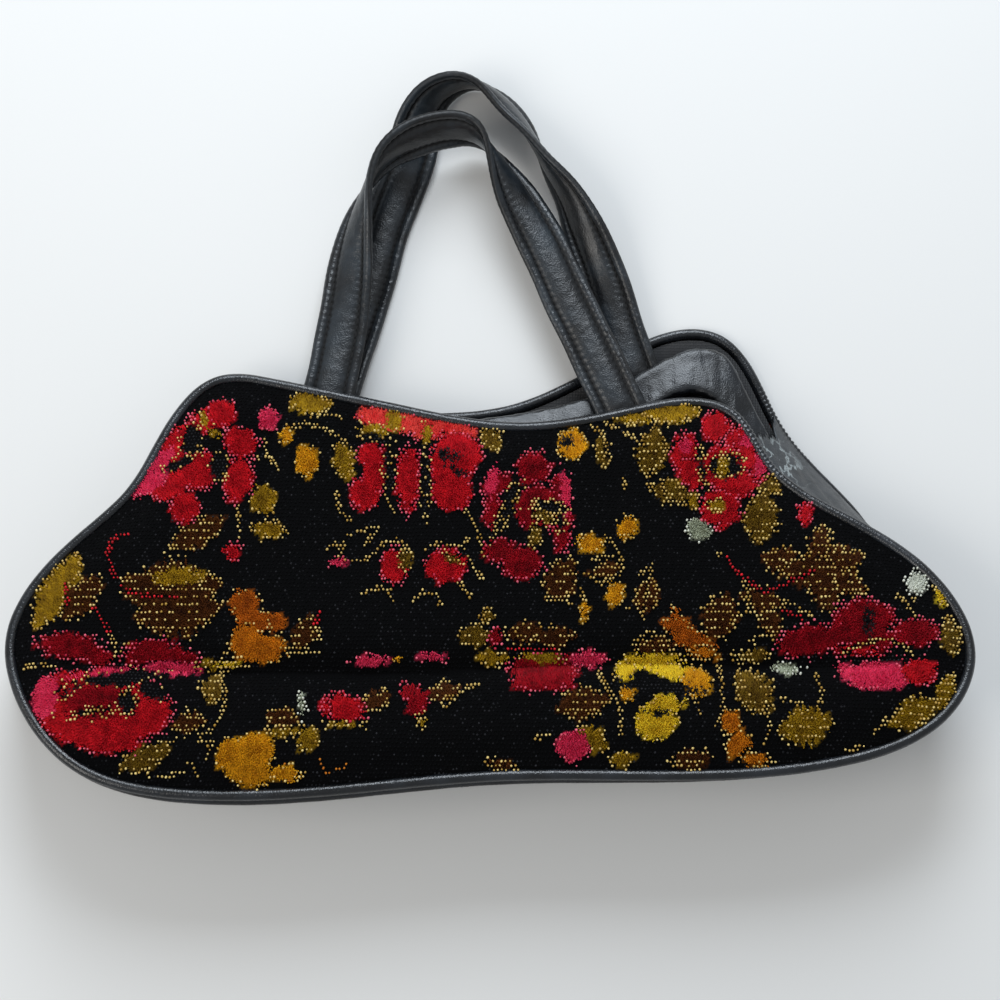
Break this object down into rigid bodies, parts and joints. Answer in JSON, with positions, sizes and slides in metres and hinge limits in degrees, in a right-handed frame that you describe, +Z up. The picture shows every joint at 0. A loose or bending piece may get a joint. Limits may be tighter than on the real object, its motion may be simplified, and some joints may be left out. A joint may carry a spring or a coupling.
{
  "type": "carpet bag",
  "caption": "Carpet handbag with two flowered moquette panels, black vinyl gusset and welts, a hinged lipped mouth and two padded strap handles, lying on its back",
  "frame": {"origin": "on the floor under the middle of the back panel", "axes": "+X across the bag, +Y from the base to the mouth, +Z up through the bag, which lies on its back"},
  "size_m": [0.4363, 0.3586, 0.0627],
  "materials": {
    "carpet": "cut pile and loop moquette, black ground with red and gold flowers",
    "crimson_pile": "cut pile, crimson and pink",
    "gold_pile": "cut pile, gold and orange",
    "brown_pile": "cut pile, brown and olive",
    "piping": "satin black vinyl welt",
    "vinyl": "grained black vinyl, satin",
    "strap": "grained black vinyl strap, stitched",
    "lining": "plain dark cloth",
    "board": "stiff fibre board",
    "steel": "plain steel strip",
    "stud": "plated press stud"
  },
  "bodies": {
    "bag_body": {"back_panel": "carpet", "back_piping": "piping", "back_lining": "lining", "gusset": "vinyl", "base_board": "board", "back_lip": "vinyl", "back_frame": "steel", "left_hinge_pin": "steel", "right_hinge_pin": "steel", "catch_socket": "stud", "back_handle": "strap", "front_panel": "carpet", "crimson_pile": "crimson_pile", "gold_pile": "gold_pile", "brown_pile": "brown_pile", "front_piping": "piping", "front_lining": "lining"},
    "front_mouth": {"front_frame": "steel", "front_lip": "vinyl", "catch_stud": "stud", "front_handle": "strap"}
  },
  "joints": [
    {"name": "mouth_hinge", "type": "hinge", "parent": "bag_body", "child": "front_mouth", "pos_m": [0, 0.066, 0.01], "axis": [1, 0, 0], "range_deg": [0, 70], "deforming": ["front_panel", "front_piping", "front_lining", "crimson_pile", "gold_pile", "brown_pile"]}
  ]
}
